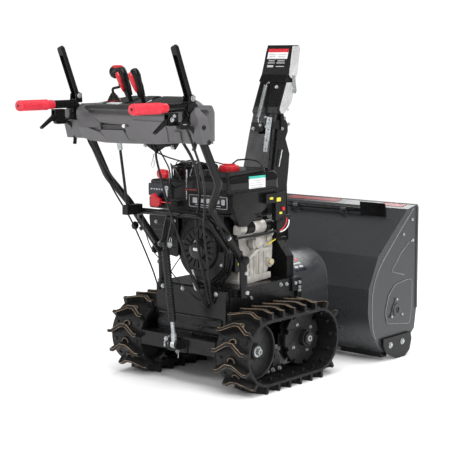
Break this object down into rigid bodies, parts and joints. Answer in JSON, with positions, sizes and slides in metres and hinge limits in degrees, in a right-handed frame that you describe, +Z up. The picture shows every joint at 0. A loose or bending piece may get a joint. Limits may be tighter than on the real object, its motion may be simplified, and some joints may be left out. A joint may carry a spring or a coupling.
{
  "type": "tracked two-stage snowblower",
  "caption": "Walk-behind snowblower on rubber tracks: wide auger bucket, turning chute with folding deflector, petrol engine, handlebars and console.",
  "frame": {"origin": "centre of the machine's length and width, at ground level", "axes": "+X to the operator's right, +Y forward from the grips to the bucket mouth, +Z up"},
  "size_m": [0.748, 1.494, 1.206],
  "materials": {
    "gunmetal_paint": "satin powder coat",
    "black_paint": "satin powder coat",
    "console_grey": "fine-grained moulding",
    "black_plastic": "fine-grained moulding",
    "tank_black": "satin moulding",
    "red_grip": "ribbed soft rubber",
    "red_plastic": "satin moulding",
    "track_rubber": "moulded tread rubber",
    "boot_rubber": "smooth rubber",
    "cast_alloy": "as cast",
    "gear_iron": "painted casting",
    "zinc": "zinc plated",
    "cable_sheath": "smooth jacket",
    "tan_plastic": "satin moulding"
  },
  "bodies": {
    "machine": {"engine_frame": "black_paint", "rear_cover": "black_paint", "auger_housing": "gunmetal_paint", "scraper_bar": "black_paint", "skid_shoes": "black_paint", "bearing_flanges": "black_paint", "auger_gearbox": "gear_iron", "strut_hanger": "black_paint", "handles": "black_paint", "grips": "red_grip", "cross_hoop": "black_paint", "lever_brackets": "black_paint", "console_shell": "console_grey", "console_top": "black_plastic", "console_bracket": "black_paint", "engine_block": "cast_alloy", "blower_housing": "black_paint", "recoil_cover": "black_plastic", "engine_shroud": "black_plastic", "side_cover": "black_plastic", "snow_hood": "black_plastic", "muffler": "black_paint", "fuel_tank": "tank_black", "electric_starter": "black_paint", "switch_box": "black_plastic", "belt_cover": "black_plastic", "control_cables": "cable_sheath", "fasteners": "zinc"},
    "clean_out_tool": {"clean_out_tool": "black_plastic"},
    "auger": {"auger": "black_paint"},
    "impeller": {"impeller": "black_paint"},
    "right_sprocket": {"right_sprocket": "black_paint"},
    "left_sprocket": {"left_sprocket": "black_paint"},
    "right_idler": {"right_idler": "black_paint"},
    "left_idler": {"left_idler": "black_paint"},
    "right_roller": {"right_roller": "black_plastic"},
    "left_roller": {"left_roller": "black_plastic"},
    "strut_cylinder": {"strut_boot": "boot_rubber"},
    "strut_piston": {"strut_rod": "zinc"},
    "undercarriage": {"track_belts": "track_rubber", "undercarriage_frame": "black_paint"},
    "auger_lever": {"auger_lever": "black_plastic"},
    "drive_lever": {"drive_lever": "black_plastic"},
    "right_steering_trigger": {"right_steering_trigger": "black_plastic"},
    "left_steering_trigger": {"left_steering_trigger": "black_plastic"},
    "deflector_lever": {"deflector_lever": "black_plastic"},
    "speed_lever": {"speed_lever": "black_plastic"},
    "chute_crank": {"chute_crank": "black_paint"},
    "chute": {"chute": "black_paint"},
    "deflector": {"deflector_mid": "black_paint", "deflector_links": "zinc"},
    "deflector_tip": {"deflector_top": "black_paint"},
    "crankshaft": {"crankshaft": "gear_iron"},
    "recoil_handle": {"recoil_handle": "black_plastic"},
    "fuel_cap": {"fuel_cap": "red_plastic"},
    "start_button": {"start_button": "red_plastic"},
    "choke_knob": {"choke_knob": "red_plastic"},
    "ignition_key": {"ignition_key": "red_plastic"},
    "throttle_lever": {"throttle_lever": "zinc"},
    "oil_cap": {"oil_cap": "tan_plastic"}
  },
  "joints": [
    {"name": "track_tilt", "type": "hinge", "parent": "machine", "child": "undercarriage", "pos_m": [0, 0.145, 0.142], "axis": [1, 0, 0], "range_deg": [-4.5, 6]},
    {"name": "strut_swing", "type": "hinge", "parent": "machine", "child": "strut_cylinder", "pos_m": [0, -0.322, 0.516], "axis": [1, 0, 0], "range_deg": [-2, 2]},
    {"name": "strut_slide", "type": "slide", "parent": "strut_cylinder", "child": "strut_piston", "axis": [0, 0.1227, -0.9924], "range_m": [-0.04, 0.05]},
    {"name": "right_sprocket_spin", "type": "hinge", "parent": "undercarriage", "child": "right_sprocket", "pos_m": [0, 0.145, 0.142], "axis": [1, 0, 0], "continuous": true},
    {"name": "right_idler_spin", "type": "hinge", "parent": "undercarriage", "child": "right_idler", "pos_m": [0, -0.146, 0.142], "axis": [1, 0, 0], "continuous": true},
    {"name": "right_roller_spin", "type": "hinge", "parent": "undercarriage", "child": "right_roller", "pos_m": [0, -0.02, 0.066], "axis": [1, 0, 0], "continuous": true},
    {"name": "left_sprocket_spin", "type": "hinge", "parent": "undercarriage", "child": "left_sprocket", "pos_m": [0, 0.145, 0.142], "axis": [1, 0, 0], "continuous": true},
    {"name": "left_idler_spin", "type": "hinge", "parent": "undercarriage", "child": "left_idler", "pos_m": [0, -0.146, 0.142], "axis": [1, 0, 0], "continuous": true},
    {"name": "left_roller_spin", "type": "hinge", "parent": "undercarriage", "child": "left_roller", "pos_m": [0, -0.02, 0.066], "axis": [1, 0, 0], "continuous": true},
    {"name": "auger_spin", "type": "hinge", "parent": "machine", "child": "auger", "pos_m": [0, 0.597, 0.191], "axis": [1, 0, 0], "continuous": true},
    {"name": "impeller_spin", "type": "hinge", "parent": "machine", "child": "impeller", "pos_m": [0, 0.36, 0.25], "axis": [0, 1, 0], "continuous": true},
    {"name": "crankshaft_spin", "type": "hinge", "parent": "machine", "child": "crankshaft", "pos_m": [0, 0, 0.478], "axis": [0, 1, 0], "continuous": true},
    {"name": "auger_lever_squeeze", "type": "hinge", "parent": "machine", "child": "auger_lever", "pos_m": [0.264, -0.484, 1.031], "axis": [1, 0, 0], "range_deg": [0, 58], "stiffness_Nm_per_rad": 1, "springref_deg": -17.19},
    {"name": "drive_lever_squeeze", "type": "hinge", "parent": "machine", "child": "drive_lever", "pos_m": [-0.264, -0.484, 1.031], "axis": [1, 0, 0], "range_deg": [0, 58], "stiffness_Nm_per_rad": 1, "springref_deg": -17.19},
    {"name": "right_trigger_squeeze", "type": "hinge", "parent": "machine", "child": "right_steering_trigger", "pos_m": [0.264, -0.58, 0.966], "axis": [-1, 0, 0], "range_deg": [0, 20], "stiffness_Nm_per_rad": 0.4, "springref_deg": -22.92},
    {"name": "left_trigger_squeeze", "type": "hinge", "parent": "machine", "child": "left_steering_trigger", "pos_m": [-0.264, -0.58, 0.966], "axis": [-1, 0, 0], "range_deg": [0, 20], "stiffness_Nm_per_rad": 0.4, "springref_deg": -22.92},
    {"name": "speed_lever_swing", "type": "hinge", "parent": "machine", "child": "speed_lever", "pos_m": [0.012, -0.405, 0.955], "axis": [1, 0, 0], "range_deg": [-60, 12]},
    {"name": "deflector_lever_swing", "type": "hinge", "parent": "machine", "child": "deflector_lever", "pos_m": [-0.06, -0.392, 0.955], "axis": [1, 0, 0], "range_deg": [-60, 12]},
    {"name": "chute_turn", "type": "hinge", "parent": "machine", "child": "chute", "pos_m": [-0.054, 0.316, 0.45], "axis": [0, 0, 1], "range_deg": [-100, 100]},
    {"name": "crank_turn", "type": "hinge", "parent": "machine", "child": "chute_crank", "pos_m": [-0.15, -0.412, 1.012], "axis": [0, -0.1564, 0.9877], "range_deg": [-600, 600]},
    {"name": "deflector_tilt", "type": "hinge", "parent": "chute", "child": "deflector", "pos_m": [-0.054, 0.318, 0.95], "axis": [-1, 0, 0], "range_deg": [0, 30]},
    {"name": "deflector_tip_tilt", "type": "hinge", "parent": "deflector", "child": "deflector_tip", "pos_m": [-0.054, 0.392, 1.087], "axis": [-1, 0, 0], "range_deg": [0, 36]},
    {"name": "recoil_pull", "type": "slide", "parent": "machine", "child": "recoil_handle", "axis": [0, -1, 0], "range_m": [0, 0.25], "stiffness_N_per_m": 20, "springref_m": -0.1},
    {"name": "fuel_cap_turn", "type": "hinge", "parent": "machine", "child": "fuel_cap", "pos_m": [0.072, -0.06, 0.76], "axis": [0, 0, 1], "range_deg": [0, 90]},
    {"name": "oil_cap_turn", "type": "hinge", "parent": "machine", "child": "oil_cap", "pos_m": [0.13, 0.1, 0.416], "axis": [1, 0, 0], "range_deg": [0, 180]},
    {"name": "start_button_press", "type": "slide", "parent": "machine", "child": "start_button", "axis": [-1, 0, 0], "range_m": [0, 0.003], "stiffness_N_per_m": 300, "springref_m": -0.002},
    {"name": "choke_knob_turn", "type": "hinge", "parent": "machine", "child": "choke_knob", "pos_m": [-0.205, -0.104, 0.72], "axis": [0, 0, 1], "range_deg": [0, 90]},
    {"name": "ignition_key_pull", "type": "slide", "parent": "machine", "child": "ignition_key", "axis": [-1, 0, 0], "range_m": [0, 0.01]},
    {"name": "throttle_lever_swing", "type": "hinge", "parent": "machine", "child": "throttle_lever", "pos_m": [-0.153, -0.1475, 0.688], "axis": [0, 1, 0], "range_deg": [-25, 25]},
    {"name": "clean_out_tool_lift", "type": "slide", "parent": "machine", "child": "clean_out_tool", "axis": [0, 0, 1], "range_m": [0, 0.12]}
  ],
  "couplings": [
    {"joint": "strut_swing", "follows": "track_tilt", "ratio": -0.16},
    {"joint": "strut_slide", "follows": "track_tilt", "m_per_rad": 0.4176},
    {"joint": "right_idler_spin", "follows": "right_sprocket_spin", "ratio": 1},
    {"joint": "right_roller_spin", "follows": "right_sprocket_spin", "ratio": 3.8},
    {"joint": "left_idler_spin", "follows": "left_sprocket_spin", "ratio": 1},
    {"joint": "left_roller_spin", "follows": "left_sprocket_spin", "ratio": 3.8},
    {"joint": "impeller_spin", "follows": "auger_spin", "ratio": 10},
    {"joint": "crank_turn", "follows": "chute_turn", "ratio": 6},
    {"joint": "deflector_tip_tilt", "follows": "deflector_tilt", "ratio": 1.2},
    {"joint": "deflector_lever_swing", "follows": "deflector_tilt", "ratio": -2}
  ]
}
